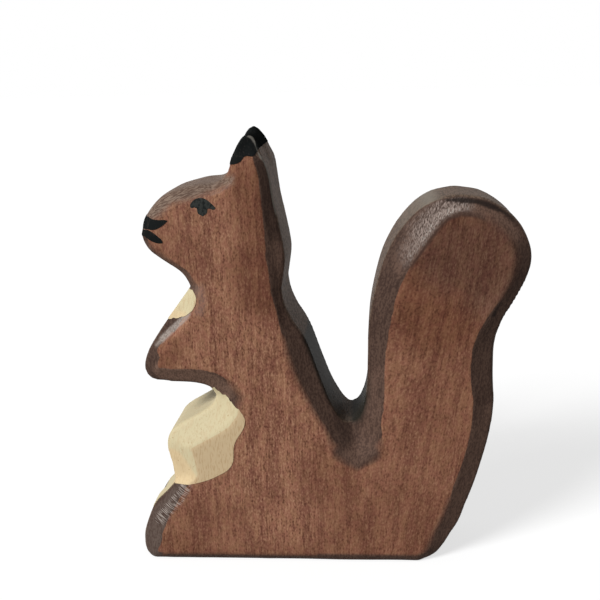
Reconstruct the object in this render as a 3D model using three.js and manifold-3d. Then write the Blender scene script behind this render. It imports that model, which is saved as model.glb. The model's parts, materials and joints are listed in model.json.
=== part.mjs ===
// Carved wooden squirrel toy, sitting up with its tail raised.
// One piece of board is sawn to the outline, its edges are cut back with a knife, and opaque
// layers of paint and of pale wash are laid over it. Each layer is a thin solid of its own.
// Millimetres, +Z up. The nose points to -X, the tail to +X, and the board's faces look along Y.
// The origin lies on the standing face, below the middle of the figure.

import * as THREE from "three";
import { mergeVertices } from "three/addons/utils/BufferGeometryUtils.js";
import Module from "manifold-3d";

const wasm = await Module();
wasm.setup();

// Driving dimensions of the figure, of the board and of its layers.
const FIGURE_HEIGHT = 86; // from the table to the tip of the ear
const FIGURE_LENGTH = 77.2; // from the toe to the back of the tail
const BOARD_THICKNESS = 20;
const KNIFE_BITE = 1.2; // the knife's depth at the edge of the sawn face, plus
const KNIFE_FALL = 0.27; // this much for each millimetre of the cut's width
const FACET_LENGTH = 1.3; // length of one facet along the sawn outline
const LAYER_THICKNESS = 0.15;
const LAYER_CLEARANCE = 0.02; // between the wood and a layer

// The outline and the marks are one pattern, drawn on a grid of squares that the figure's length
// and height stretch to size. A landmark has its place on the grid, along X and up Z, and the
// width in millimetres of the knife cut there.
const at = (x, z, cut) => new THREE.Vector3(x, z, cut);

const BASE_FRONT = at(-36.5, 0, 1.1);
const BASE_REAR = at(17.8, 0, 1.1);
const FOOT_CREASE = at(-31.5, 16.2, 2.2);
const ARM_PIT = at(-22.2, 34.7, 5);
const THROAT = at(-26.2, 57, 1.6);
const NOSE_TIP = at(-35.1, 68.5, 1);
const BROW = at(-18.8, 78.9, 2.4);
const EAR_TIP = at(-14.7, 86, 0.5);
const NAPE = at(-8.8, 56.3, 1.8);
const NOTCH = at(4.3, 28.9, 8.2);
const TAIL_TOP = at(25.2, 74.1, 3.2);

// The outline as smooth stretches, in order from the toe over the head and tail to the rump.
// Each stretch starts where the one before it ends, and the standing face closes the loop.
const STRETCHES = {
  foot: [
    BASE_FRONT, at(-38.2, 1.7, 2.6), at(-38.6, 4, 3.3), at(-37.1, 9, 3.8), at(-35.8, 11.7, 3.7),
    at(-33.4, 14.1, 3), FOOT_CREASE,
  ],
  belly: [
    FOOT_CREASE, at(-31.6, 17.6, 5), at(-31.9, 20, 5.2), at(-32.7, 24, 5.2), at(-32.1, 26.4, 5),
    at(-30.6, 28, 4.8), at(-25.6, 30.9, 4.8), at(-22.9, 32.9, 5), ARM_PIT,
  ],
  arm: [
    ARM_PIT, at(-23.2, 36.3, 4), at(-25.6, 37.3, 3.5), at(-32, 37.9, 3.1), at(-35, 38.6, 3.1),
    at(-36.2, 40.8, 3), at(-35.6, 43.6, 2.6), at(-32.8, 48.2, 3), at(-29.3, 52.9, 3.3), THROAT,
  ],
  muzzle: [
    THROAT, at(-27.6, 59.8, 1.2), at(-31.4, 62.6, 1), at(-33.8, 64.5, 1), at(-34.9, 66.5, 1), NOSE_TIP,
    at(-34.4, 70.4, 1.4), at(-32.4, 73.1, 2.2), at(-30, 75, 2), at(-24.7, 76.4, 2), BROW,
  ],
  ear_front: [BROW, at(-17.6, 80.9, 0.8), at(-16.4, 83.8, 0.5), at(-15.5, 85.4, 0.5), EAR_TIP],
  ear_back: [
    EAR_TIP, at(-13.9, 85.6, 0.7), at(-13, 84.5, 1), at(-11.8, 82, 1.5), at(-10.7, 79, 1.7),
    at(-9.9, 73.5, 2), at(-8.8, 68.3, 2.7), at(-7.9, 62.5, 3.4), at(-8.3, 59.3, 2.6), NAPE,
  ],
  back: [
    NAPE, at(-8.3, 53.2, 1.5), at(-6.8, 50, 2.5), at(-4.5, 46.3, 4), at(-1.9, 39, 4), at(0.3, 33.3, 3.5),
    at(2, 30.3, 3.3), at(3.1, 29.1, 4.8), NOTCH,
  ],
  tail_inside: [
    NOTCH, at(5.4, 29.4, 7.1), at(6.5, 31, 4.1), at(7.2, 33.2, 3.7), at(7.7, 36.7, 3.3), at(7.9, 42, 3.2),
    at(8.2, 49.5, 3.9), at(9.5, 56.5, 4.1), at(11.4, 62.7, 4.9), at(14.4, 68, 5.3), at(18.2, 71.8, 4.7),
    at(21.6, 73.5, 3.8), TAIL_TOP,
  ],
  tail_outside: [
    TAIL_TOP, at(29.5, 73.3, 3), at(33.5, 71, 3), at(36.7, 67.7, 3), at(38.6, 62.8, 3.2),
    at(37.9, 58.8, 2.9), at(35.7, 54, 2.7), at(33.4, 49.8, 3.1), at(32.1, 45.5, 4),
    at(31.9, 40, 4.4), at(32.1, 33, 4), at(30.6, 24, 3.7), at(28, 15, 3.8), at(25.7, 9.4, 3.5),
    at(22.6, 4, 2.9), at(20.2, 1.3, 2), BASE_REAR,
  ],
  base: [BASE_REAR, BASE_FRONT],
};

// How long and how high one square of the pattern is.
const patternBox = new THREE.Box3().setFromPoints(Object.values(STRETCHES).flat());
const squareLength = FIGURE_LENGTH / (patternBox.max.x - patternBox.min.x);
const squareHeight = FIGURE_HEIGHT / patternBox.max.y;

// The painted marks and washes. Each outline is given as steps from the landmark that it belongs
// to, in squares of the pattern, and the eye's underside in radii of its lid.
const step = (x, z) => new THREE.Vector2(x, z);
const EYE = at(-22.7, 71.6, 0); // the centre of the lid's arch
const EYE_LID_RADIUS = 2.75;
const EYE_LID_FROM = 15; // degrees above the level, at the back corner of the eye
const EYE_LID_TO = 155; // and at its front corner
const EYE_UNDERSIDE = [
  step(-0.85, 0.29), step(-0.45, 0.38), step(-0.42, 0.04), step(-0.04, -0.29),
  step(0.29, 0), step(0.4, 0.31), step(0.73, 0.16),
];
const NOSE_MARK = [
  step(1, 0.4), step(2.4, 0.15), step(4.2, 0.75), step(5.5, 1.8),
  step(5.2, 2.05), step(4.3, 1.95), step(2.8, 2.3), step(1.2, 2.65),
];
const MOUTH_MARK = [
  step(0.8, -1.3), step(2, -1.85), step(3.3, -2.3), step(4.3, -2.45),
  step(4.35, -2.1), step(3.4, -1.1), step(2.2, -0.3), step(1, 0.28),
];
const EAR_MARK = [
  step(-4, -5.3), step(-0.9, -4.9), step(0, -3.9), step(1.5, -3.9), step(2.7, -2.4), step(5, -2.3),
];
const CHEST_MARK = [
  step(0.4, -0.4), step(1.1, -1.8), step(0.6, -3.6), step(-0.9, -5), step(-2.5, -5.8), step(-5.2, -5.6),
];
const BELLY_MARK = [
  step(0.6, 1.5), step(3.2, 0.2), step(5.7, -4.5), step(3.4, -9.5), step(2.6, -14),
  step(-0.3, -16.2), step(-5.5, -18),
];
const SHIN_WASH_DROP = 5; // how far the wash on the sawn face runs down the shin below the crease
const OVERHANG = 3; // how far a mark's outline reaches past the wood
const ARC_STEPS = 4; // facets from one point of a mark's smooth outline to the next

const half = BOARD_THICKNESS / 2;

// Depth of a knife cut: a narrow one runs at 45 degrees and a wide one is flatter.
const cutDepth = (width) => Math.min(width, KNIFE_BITE + KNIFE_FALL * width);

// A place of the pattern on the figure.
const placed = (mark) => new THREE.Vector2(mark.x * squareLength, mark.y * squareHeight);

// Closed outline of the figure, as points of x, z and cut width at even steps.
function outlinePoints() {
  const points = [];
  for (const landmarks of Object.values(STRETCHES)) {
    const places = landmarks.map((mark) => new THREE.Vector3(...placed(mark), mark.z));
    const curve = new THREE.CatmullRomCurve3(places, false, "centripetal");
    const straight = landmarks.length === 2;
    const steps = straight ? 1 : Math.round(curve.getLength() / FACET_LENGTH);
    points.push(...curve.getSpacedPoints(steps).slice(0, -1));
  }
  return points;
}

// The direction out of the wood at each point, lengthened where the outline turns a corner, but
// not past a sharp one.
const SHARPEST_TURN = 0.6;
function outwardNormals(points) {
  const side = (a, b) => new THREE.Vector2(a.y - b.y, b.x - a.x).normalize();
  return points.map((point, i) => {
    const before = side(points.at(i - 1), point);
    const after = side(point, points[(i + 1) % points.length]);
    const middle = before.clone().add(after).normalize();
    const stretch = 1 / Math.max(SHARPEST_TURN, middle.dot(after));
    return middle.multiplyScalar(stretch);
  });
}

// Distance from a place to the nearest part of the closed outline.
function distanceToOutline(x, z, points) {
  const place = new THREE.Vector3(x, z, 0);
  const nearest = new THREE.Vector3();
  const edge = new THREE.Line3();
  let best = Infinity;
  points.forEach((point, i) => {
    const next = points[(i + 1) % points.length];
    edge.start.set(point.x, point.y, 0);
    edge.end.set(next.x, next.y, 0);
    edge.closestPointToPoint(place, true, nearest);
    best = Math.min(best, nearest.distanceTo(place));
  });
  return best;
}

const outline = outlinePoints();
const normals = outwardNormals(outline);

// A point of the face's border stays only where its cut isn't crossed by a nearer edge, so two
// cuts meet in a ridge at the knee, the toe and the tip of the arm.
const KEPT_SHARE = 0.985;
const borderSources = [];
outline.forEach((point, i) => {
  const x = point.x - normals[i].x * point.z;
  const z = point.y - normals[i].y * point.z;
  if (distanceToOutline(x, z, outline) >= KEPT_SHARE * point.z) {
    borderSources.push(i);
  }
});

// For each outline point, the point of the face's border that its cut runs to.
const borderMates = outline.map((point, i) => {
  const away = (source) => {
    const gap = Math.abs(source - i);
    return Math.min(gap, outline.length - gap);
  };
  let best = 0;
  borderSources.forEach((source, k) => {
    if (away(source) < away(borderSources[best])) {
      best = k;
    }
  });
  return best;
});

// The board figure with its cut edges, or the same figure with a skin of even thickness on it.
function figureGeometry(skin) {
  const positions = [];
  const indices = [];
  const ring = (sources, place) => {
    const start = positions.length / 3;
    sources.forEach((i) => positions.push(...place(outline[i], normals[i])));
    return start;
  };
  const all = outline.map((point, i) => i);
  const edgePlace = (sign) => (point, normal) => {
    const depth = cutDepth(point.z);
    const slope = Math.hypot(depth, point.z);
    const lift = (skin * point.z) / (slope + depth);
    const y = half - depth + lift;
    return [point.x + normal.x * skin, sign * y, point.y + normal.y * skin];
  };
  const borderPlace = (sign) => (point, normal) => {
    const depth = cutDepth(point.z);
    const slope = Math.hypot(depth, point.z);
    const inset = point.z - (skin * depth) / (slope + point.z);
    return [point.x - normal.x * inset, sign * (half + skin), point.y - normal.y * inset];
  };
  const nearBorder = ring(borderSources, borderPlace(-1));
  const nearEdge = ring(all, edgePlace(-1));
  const farEdge = ring(all, edgePlace(1));
  const farBorder = ring(borderSources, borderPlace(1));
  outline.forEach((point, i) => {
    const next = (i + 1) % outline.length;
    const mate = borderMates[i];
    const nextMate = borderMates[next];
    indices.push(nearEdge + i, nearEdge + next, farEdge + next);
    indices.push(nearEdge + i, farEdge + next, farEdge + i);
    indices.push(nearBorder + nextMate, nearEdge + next, nearEdge + i);
    indices.push(farBorder + nextMate, farEdge + i, farEdge + next);
    if (mate !== nextMate) {
      indices.push(nearBorder + mate, nearBorder + nextMate, nearEdge + i);
      indices.push(farBorder + nextMate, farBorder + mate, farEdge + i);
    }
  });
  const border = borderSources.map((i, k) => {
    const base = 3 * (nearBorder + k);
    return new THREE.Vector2(positions[base], positions[base + 2]);
  });
  for (const [a, b, c] of THREE.ShapeUtils.triangulateShape(border, [])) {
    const turn = THREE.ShapeUtils.area([border[a], border[b], border[c]]);
    const [p, q] = turn > 0 ? [b, c] : [c, b];
    indices.push(nearBorder + a, nearBorder + p, nearBorder + q);
    indices.push(farBorder + a, farBorder + q, farBorder + p);
  }
  const geometry = new THREE.BufferGeometry();
  geometry.setAttribute("position", new THREE.Float32BufferAttribute(positions, 3));
  geometry.setIndex(indices);
  return geometry;
}

// Conversions between closed meshes and solids that can be cut.
function toSolid(geometry) {
  const bare = geometry.clone();
  bare.deleteAttribute("normal");
  bare.deleteAttribute("uv");
  const merged = mergeVertices(bare);
  const vertProperties = new Float32Array(merged.attributes.position.array);
  const triVerts = new Uint32Array(merged.index.array);
  return new wasm.Manifold(new wasm.Mesh({ numProp: 3, vertProperties, triVerts }));
}

function toGeometry(solid) {
  const mesh = solid.getMesh();
  const geometry = new THREE.BufferGeometry();
  geometry.setAttribute("position", new THREE.Float32BufferAttribute(mesh.vertProperties, 3));
  geometry.setIndex(new THREE.Uint32BufferAttribute(mesh.triVerts, 1));
  return geometry;
}

// A straight-sided block over an outline in X and Z, from one Y to another.
function block(shape, fromY, toY) {
  const options = { depth: toY - fromY, bevelEnabled: false, curveSegments: ARC_STEPS };
  const geometry = new THREE.ExtrudeGeometry(shape, options);
  geometry.rotateX(Math.PI / 2);
  geometry.translate(0, toY, 0);
  return toSolid(geometry);
}

const past = half + OVERHANG;
const innerSkin = toSolid(figureGeometry(LAYER_CLEARANCE));
const outerSkin = toSolid(figureGeometry(LAYER_CLEARANCE + LAYER_THICKNESS));
const skin = outerSkin.subtract(innerSkin);

// The part of the figure's skin that lies inside a block.
const layer = (solid) => toGeometry(skin.intersect(solid));

// The points of a mark, from the landmark that it belongs to.
const marked = (landmark, mark) => mark.map((to) => placed(to).add(placed(landmark)));

// Pale wash over the belly, also down the sawn face of the shin.
function bellyWash() {
  const crease = placed(FOOT_CREASE);
  const pit = placed(ARM_PIT);
  const left = crease.x - OVERHANG;
  const marks = marked(ARM_PIT, BELLY_MARK);
  const belly = new THREE.Shape();
  belly.moveTo(left, pit.y - OVERHANG);
  belly.lineTo(pit.x - OVERHANG, pit.y);
  belly.lineTo(marks[0].x, marks[0].y);
  belly.splineThru([...marks.slice(1), crease]);
  belly.lineTo(left, crease.y);
  const shin = new THREE.Shape();
  shin.moveTo(crease.x + OVERHANG, crease.y + OVERHANG);
  shin.lineTo(left - OVERHANG, crease.y + OVERHANG);
  shin.lineTo(left - OVERHANG, crease.y - SHIN_WASH_DROP);
  shin.lineTo(crease.x + OVERHANG, crease.y - SHIN_WASH_DROP);
  const sawnHalf = half - cutDepth(FOOT_CREASE.z);
  return layer(block(belly, -past, past).add(block(shin, -sawnHalf, sawnHalf)));
}

// Pale wash over the chest, from the throat down the edge towards the arm.
function chestWash() {
  const points = marked(THROAT, CHEST_MARK);
  const chest = new THREE.Shape();
  chest.moveTo(placed(THROAT).x - OVERHANG, points[0].y);
  points.forEach((point) => chest.lineTo(point.x, point.y));
  chest.lineTo(points.at(-1).x - OVERHANG, points.at(-1).y);
  return layer(block(chest, -past, past));
}

// Black paint over the top of the ear.
function earTipPaint() {
  const points = marked(EAR_TIP, EAR_MARK);
  const top = placed(EAR_TIP).y + OVERHANG;
  const ear = new THREE.Shape();
  ear.moveTo(points[0].x, top);
  points.forEach((point) => ear.lineTo(point.x, point.y));
  ear.lineTo(points.at(-1).x, top);
  return layer(block(ear, -past, past));
}

// A wedge of black paint across the snout, pointed on each face of the board.
function snoutPaint(mark) {
  const points = marked(NOSE_TIP, mark);
  const front = placed(NOSE_TIP).x - OVERHANG;
  const wedge = new THREE.Shape();
  wedge.moveTo(front, points[0].y);
  wedge.lineTo(points[0].x, points[0].y);
  wedge.splineThru(points.slice(1));
  wedge.lineTo(front, points.at(-1).y);
  return layer(block(wedge, -past, past));
}

// An arched lid with the pupil hanging from it, on one face of the board.
function eyePaint(side) {
  const eye = new THREE.Shape();
  const back = THREE.MathUtils.degToRad(EYE_LID_FROM);
  const front = THREE.MathUtils.degToRad(EYE_LID_TO);
  const centre = placed(EYE);
  eye.absarc(centre.x, centre.y, EYE_LID_RADIUS, back, front, false);
  eye.splineThru(EYE_UNDERSIDE.map((to) => to.clone().multiplyScalar(EYE_LID_RADIUS).add(centre)));
  const [fromY, toY] = side < 0 ? [-past, 0] : [0, past];
  return layer(block(eye, fromY, toY));
}

// Finishes, as seen.
const finish = (color, roughness) => new THREE.MeshStandardMaterial({ color, roughness, metalness: 0 });
const stainedWood = finish(0x70503e, 0.55);
const paleWash = finish(0xd8cba0, 0.6);
const blackPaint = finish(0x1b1c1d, 0.45);

const group = new THREE.Group();

function addPiece(name, geometry, material) {
  geometry.computeVertexNormals();
  const mesh = new THREE.Mesh(geometry, material);
  mesh.name = name;
  group.add(mesh);
}

addPiece("wood_body", figureGeometry(0), stainedWood);
addPiece("belly_wash", bellyWash(), paleWash);
addPiece("chest_wash", chestWash(), paleWash);
addPiece("ear_tip_paint", earTipPaint(), blackPaint);
addPiece("nose_paint", snoutPaint(NOSE_MARK), blackPaint);
addPiece("mouth_paint", snoutPaint(MOUTH_MARK), blackPaint);
addPiece("left_eye_paint", eyePaint(-1), blackPaint);
addPiece("right_eye_paint", eyePaint(1), blackPaint);

export default group;
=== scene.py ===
# %% [markdown]
# # A carved wooden squirrel
#
# The toy is sawn from one piece of hardwood board. Its edges are cut back with a knife, it is
# stained brown, and a pale wash and black paint are laid over it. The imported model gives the
# exact size and place of every piece, so each step here starts from one of its nodes, and the
# looks are worked out on top: soft edges, marks of the tools, grain, stain and paint.

import json
import math
import random
from typing import NamedTuple

import bpy
import numpy as np
from mathutils import Matrix, Vector

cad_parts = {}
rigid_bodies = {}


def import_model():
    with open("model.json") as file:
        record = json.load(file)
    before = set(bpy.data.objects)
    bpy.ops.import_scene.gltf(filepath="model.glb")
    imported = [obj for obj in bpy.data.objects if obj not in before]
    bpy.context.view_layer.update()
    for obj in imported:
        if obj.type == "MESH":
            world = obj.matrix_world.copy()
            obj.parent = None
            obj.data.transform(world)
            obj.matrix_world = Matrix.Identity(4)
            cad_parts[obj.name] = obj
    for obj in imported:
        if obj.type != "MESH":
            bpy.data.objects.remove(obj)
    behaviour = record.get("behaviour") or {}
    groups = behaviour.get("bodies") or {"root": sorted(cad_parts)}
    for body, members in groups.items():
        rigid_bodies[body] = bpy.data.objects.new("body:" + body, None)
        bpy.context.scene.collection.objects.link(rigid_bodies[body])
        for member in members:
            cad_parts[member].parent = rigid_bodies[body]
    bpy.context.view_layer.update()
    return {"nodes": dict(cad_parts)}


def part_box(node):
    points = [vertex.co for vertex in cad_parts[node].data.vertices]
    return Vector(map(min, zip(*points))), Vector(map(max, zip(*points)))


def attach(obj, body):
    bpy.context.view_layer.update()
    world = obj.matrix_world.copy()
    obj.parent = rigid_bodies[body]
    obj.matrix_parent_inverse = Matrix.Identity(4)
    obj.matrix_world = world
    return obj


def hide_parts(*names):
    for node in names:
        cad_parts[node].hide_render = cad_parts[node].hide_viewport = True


for leftover in list(bpy.data.objects):
    bpy.data.objects.remove(leftover)

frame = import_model()

MM = 0.001
board_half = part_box("wood_body")[1].y
print("the board is", round(2 * board_half / MM, 1), "mm thick")

# %% [markdown]
# ## The camera
#
# The photograph is taken from a little above and from the left of the middle, with the board's
# face nearly square to the lens. The camera comes first, because every later look is judged
# through it. Its turns are applied one after another: heading, tilt and a small roll.

# %% Place the camera
CAMERA_PLACE = Vector((9.77, -198.43, 99.37)) * MM
CAMERA_HEADING = math.radians(4.483)
CAMERA_DOWN = math.radians(13.306)
CAMERA_ROLL = math.radians(-1.406)
LENS_IN_MM = 60.98
SENSOR_IN_MM = 36

camera_data = bpy.data.cameras.new("camera")
camera_data.sensor_width = SENSOR_IN_MM
camera_data.lens = LENS_IN_MM
camera = bpy.data.objects.new("camera", camera_data)
bpy.context.scene.collection.objects.link(camera)
turn = Matrix.Rotation(CAMERA_HEADING, 4, "Z")
turn @= Matrix.Rotation(math.pi / 2 - CAMERA_DOWN, 4, "X")
turn @= Matrix.Rotation(CAMERA_ROLL, 4, "Z")
camera.matrix_world = Matrix.Translation(CAMERA_PLACE) @ turn
bpy.context.scene.camera = camera
print("the camera stands", round(CAMERA_PLACE.length / MM), "mm from the middle of the base")

# %% [markdown]
# ## The blank
#
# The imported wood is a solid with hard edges, held as loose triangles. A copy of it is joined up
# first. The two outlines that matter for carving are then read off the copy: the border of the
# flat face, where the knife's cuts start, and the sawn outline, where they end. They could be
# typed in again, but read off the model they stay true to it.

# %% Copy a node and join its triangles
JOIN_WITHIN = 0.01 * MM


def select_only(piece):
    bpy.ops.object.select_all(action="DESELECT")
    piece.select_set(True)
    bpy.context.view_layer.objects.active = piece


def joined_copy(node, name):
    mesh = frame["nodes"][node].data.copy()
    mesh.name = name
    mesh.materials.clear()
    copy = bpy.data.objects.new(name, mesh)
    bpy.context.scene.collection.objects.link(copy)
    select_only(copy)
    bpy.ops.mesh.customdata_custom_splitnormals_clear()
    bpy.ops.object.mode_set(mode="EDIT")
    bpy.ops.mesh.select_all(action="SELECT")
    bpy.ops.mesh.remove_doubles(threshold=JOIN_WITHIN)
    bpy.ops.object.mode_set(mode="OBJECT")
    return copy


wood = joined_copy("wood_body", "carved_wood")
print("the blank has", len(wood.data.vertices), "corners")

# %% Read the outlines off the blank
FLAT_FROM = 0.999
SAWN_UNDER = 0.02


def kind_of(normal):
    """Whether a face of the blank looks along the board's depth, square to it, or between."""
    if abs(normal.y) > FLAT_FROM:
        return "flat"
    return "sawn" if abs(normal.y) < SAWN_UNDER else "cut"


def loop_between(mesh, first, second):
    """The corners, in order, of the line on the near side where two kinds of face meet."""
    kinds = {}
    for face in mesh.polygons:
        for edge in face.edge_keys:
            kinds.setdefault(edge, set()).add(kind_of(face.normal))
    links = {}
    for edge, pair in kinds.items():
        if pair == {first, second} and all(mesh.vertices[i].co.y < 0 for i in edge):
            for a, b in (edge, edge[::-1]):
                links.setdefault(a, []).append(b)
    start = min(links)
    loop = [start, links[start][0]]
    while loop[-1] != start:
        onward = [i for i in links[loop[-1]] if i != loop[-2]]
        loop.append(onward[0])
    return np.array([mesh.vertices[i].co for i in loop[:-1]])


face_border = loop_between(wood.data, "flat", "cut")
sawn_outline = loop_between(wood.data, "sawn", "cut")
print("the border has", len(face_border), "points and the sawn outline", len(sawn_outline))

# %% [markdown]
# ## Where each point lies
#
# The stain, the knife marks and the wear all follow the carving, so each point of a skin is given
# its distance to the face's border and to the sawn edge. Both are kept as attributes, which the
# materials read later. A distance changes evenly from point to point, so the line where it passes
# zero stays crisp between them.

# %% Measure points against an outline
SHORTEST = 1e-12  # square metres, so that a line may also be a single point


def points_of(piece):
    flat = np.empty(len(piece.data.vertices) * 3)
    piece.data.vertices.foreach_get("co", flat)
    return flat.reshape(-1, 3)


def gap_to_segment(places, a, b):
    """How far each place is from the straight line a-b, and where along it the nearest point is."""
    share = np.clip((places - a) @ (b - a) / max((b - a) @ (b - a), SHORTEST), 0, 1)
    return np.hypot(*(places - a - share[:, None] * (b - a)).T), share


def nearest_on_loop(places, loop):
    """For each place, its distance to the closed loop seen along Y, and where on it that is."""
    best = np.full(len(places), np.inf)
    spot = np.zeros(len(places))
    for i in range(len(loop)):
        gap, share = gap_to_segment(places, loop[i, [0, 2]], loop[(i + 1) % len(loop), [0, 2]])
        closer = gap < best
        best[closer] = gap[closer]
        spot[closer] = i + share[closer]
    return best, spot


def inside_loop(places, loop):
    """Whether each place lies inside the closed loop, seen along Y."""
    inside = np.zeros(len(places), bool)
    for i in range(len(loop)):
        ax, _, az = loop[i]
        bx, _, bz = loop[(i + 1) % len(loop)]
        if az != bz:
            level = (az > places[:, 1]) != (bz > places[:, 1])
            inside ^= level & (places[:, 0] < (bx - ax) * (places[:, 1] - az) / (bz - az) + ax)
    return inside


# %% [markdown]
# ### Strokes
#
# Some marks follow no edge. They could be painted on an image, but a stroke needs none: it is a
# line of (x, z) points on the figure, in millimetres, as a brush would go, with a reach on both
# sides, a fade beyond it and a level. All its lines can be read and changed here.

# %% Measure points against a stroke
class Stroke(NamedTuple):
    """A line drawn on the figure: its level within reach, falling to 0 over the fade."""

    line: list
    reach: float
    fade: float
    level: float = 1.0


def smooth_step(values, start, end):
    share = np.clip((values - start) / (end - start), 0, 1)
    return share * share * (3 - 2 * share)


def strength_of(stroke, places):
    """How strongly a stroke covers each place."""
    gap = np.full(len(places), np.inf)
    for a, b in zip(stroke.line, stroke.line[1:]):
        gap = np.minimum(gap, gap_to_segment(places, np.array(a) * MM, np.array(b) * MM)[0])
    return stroke.level * (1 - smooth_step(gap / MM, stroke.reach, stroke.reach + stroke.fade))


# %% [markdown]
# ### A skin and its distances
#
# The distances are in millimetres, above zero inside the face's border, on the sawn side or
# inside the sawn outline. The ear's tip is made thinner further on, so its sawn side counts as
# narrower from the start.

# %% Measure a whole skin
EAR_TIP = (-13.0, 86.0)
EAR_TIP_REACH = 4.5
EAR_TIP_THINNED = 0.62
PAST_BORDER = (0.1, 0.8)
PAST_SIDE = (0.0, 0.4)


class Skin:
    """The points of a piece, where they lie, and the attributes that it keeps of them."""

    def __init__(self, piece):
        self.piece = piece
        points = points_of(piece)
        self.seen = points[:, [0, 2]]
        gap, _ = nearest_on_loop(self.seen, face_border)
        self.on_face = np.where(inside_loop(self.seen, face_border), gap, -gap) / MM
        gap, spot = nearest_on_loop(self.seen, sawn_outline)
        self.from_edge = np.where(inside_loop(self.seen, sawn_outline), gap, -gap) / MM
        levels = -sawn_outline[:, 1]
        level = np.interp(spot, range(len(levels) + 1), [*levels, levels[0]])
        thinned = Stroke([EAR_TIP, EAR_TIP], reach=0, fade=EAR_TIP_REACH, level=1 - EAR_TIP_THINNED)
        level *= 1 - self.near(thinned)
        self.on_side = (level - np.abs(points[:, 1])) / MM
        self.off_side = smooth_step(-self.on_side, *PAST_SIDE)
        self.on_cut = smooth_step(-self.on_face, *PAST_BORDER) * self.off_side

    def near(self, *strokes):
        """The strongest of some strokes at each point."""
        return np.max([strength_of(stroke, self.seen) for stroke in strokes], axis=0)

    def keep(self, name, values):
        attribute = self.piece.data.attributes.get(name)
        if attribute is None:
            attribute = self.piece.data.attributes.new(name, "FLOAT", "POINT")
        attribute.data.foreach_set("value", values.astype(np.float32))

    def keep_distances(self, spread=0.0):
        """Keeps the distances, with the face's finish spread past its border by so much."""
        self.keep("on_face", self.on_face + spread)
        self.keep("on_side", self.on_side)
        self.keep("from_edge", self.from_edge)


print("the blank has", int((Skin(wood).on_face > 0).sum()), "corners inside the border")

# %% [markdown]
# ## Soft edges
#
# A sanded edge isn't a sharp line, so the blank is rebuilt as a fine even skin of squares and
# smoothed a little. A bevel would round the edges too, but it leaves long thin faces. A voxel
# remesh keeps the flats flat, rounds every edge by about the size of a voxel, and leaves small
# faces everywhere for the marks that follow.

# %% Helpers that shape a skin
SLIGHTEST_WEIGHT = 0.001


def apply_modifier(piece, kind, **settings):
    select_only(piece)
    bpy.ops.object.modifier_add(type=kind)
    modifier = piece.modifiers[-1]
    for name, value in settings.items():
        setattr(modifier, name, value)
    bpy.ops.object.modifier_apply(modifier=modifier.name)


def weigh(piece, name, weights):
    """A vertex group that gives each point its weight."""
    group = piece.vertex_groups.new(name=name)
    for i in np.flatnonzero(weights > SLIGHTEST_WEIGHT):
        group.add([int(i)], float(weights[i]), "REPLACE")
    return name


def edit_points(piece, chosen):
    """Goes into edit mode with only the chosen points selected."""
    select_only(piece)
    bpy.context.tool_settings.mesh_select_mode = (True, False, False)
    for parts in (piece.data.edges, piece.data.polygons):
        parts.foreach_set("select", np.zeros(len(parts), bool))
    piece.data.vertices.foreach_set("select", chosen)
    bpy.ops.object.mode_set(mode="EDIT")


# %% Rebuild the blank as a fine skin
SKIN_VOXEL = 0.44 * MM
SMOOTHING = 0.5
EDGE_ROUNDS = 3

apply_modifier(wood, "REMESH", mode="VOXEL", voxel_size=SKIN_VOXEL, adaptivity=0)
apply_modifier(wood, "SMOOTH", factor=SMOOTHING, iterations=EDGE_ROUNDS)
print("the skin has", len(wood.data.polygons), "faces")

# %% [markdown]
# ### The ear's tip and the last small moves
#
# The ear's tip is thinner than the board, and the corner between ear and brow, the toe, the heel
# and the back edges are off by up to 1.2 mm. The model's outline could be changed, but these
# are a knife's last shavings, so they are made as in edit mode: a few points are taken hold of
# and moved, and their neighbours follow less and less. At the shin and the ear only the far half
# of the board moves. Each pull is a place, a move and a reach, in millimetres.

# %% Thin the ear's tip and mend the outline
GRIP = 0.3 * MM
FAR_HALF = 2 * MM
PULLS = [
    ((-20.6, 78.9), (0.1, -1.2), 4.2),
    ((-37.0, 1.5), (-0.45, -0.3), 2.4),
    ((-35.2, 40.2), (-0.15, -0.3), 3.5),
    ((22.2, 1.8), (0.45, -0.5), 4.5),
    ((24.6, 8.0), (0.35, -0.15), 5.0),
    ((27.0, 16.0), (0.15, -0.05), 14.0),
    ((33.0, 28.0), (0.2, -0.05), 8.0),
    ((36.8, 58.5), (0.15, 0.0), 9.0),
    ((34.5, 71.0), (0.2, 0.1), 9.0),
]
FAR_PULLS = [
    ((-34.6, 13.4), (0.7, -0.7), 6.5),
    (EAR_TIP, (-0.1, 0.8), 4.0),
    ((-9.9, 83.0), (0.3, 0.1), 4.0),
]


def take_hold(piece, place, reach, deeper_than=-math.inf):
    """Selects the skin nearest a place (x, z) across the board, for a move that fades over reach."""
    points = points_of(piece)
    gap = np.hypot(*(points[:, [0, 2]] - np.array(place) * MM).T)
    edit_points(piece, (gap < gap.min() + GRIP) & (points[:, 1] > deeper_than))
    return {"use_proportional_edit": True, "proportional_edit_falloff": "SMOOTH",
            "proportional_size": reach * MM}


def pull(piece, place, move, reach, deeper_than=-math.inf):
    """Moves the skin near a place."""
    fading = take_hold(piece, place, reach, deeper_than)
    bpy.ops.transform.translate(value=(move[0] * MM, 0, move[1] * MM), **fading)
    bpy.ops.object.mode_set(mode="OBJECT")


def thin(piece, place, share, reach):
    """Brings both faces of the skin near a place closer together, to a share of its thickness."""
    fading = take_hold(piece, place, reach)
    bpy.ops.transform.resize(value=(1, share, 1), center_override=(0, 0, 0), **fading)
    bpy.ops.object.mode_set(mode="OBJECT")


thin(wood, EAR_TIP, EAR_TIP_THINNED, EAR_TIP_REACH)
for place, move, reach in PULLS:
    pull(wood, place, move, reach)
for place, move, reach in FAR_PULLS:
    pull(wood, place, move, reach, deeper_than=FAR_HALF)
print("the skin now reaches up to", round(points_of(wood)[:, 2].max() / MM, 1), "mm")

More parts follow.
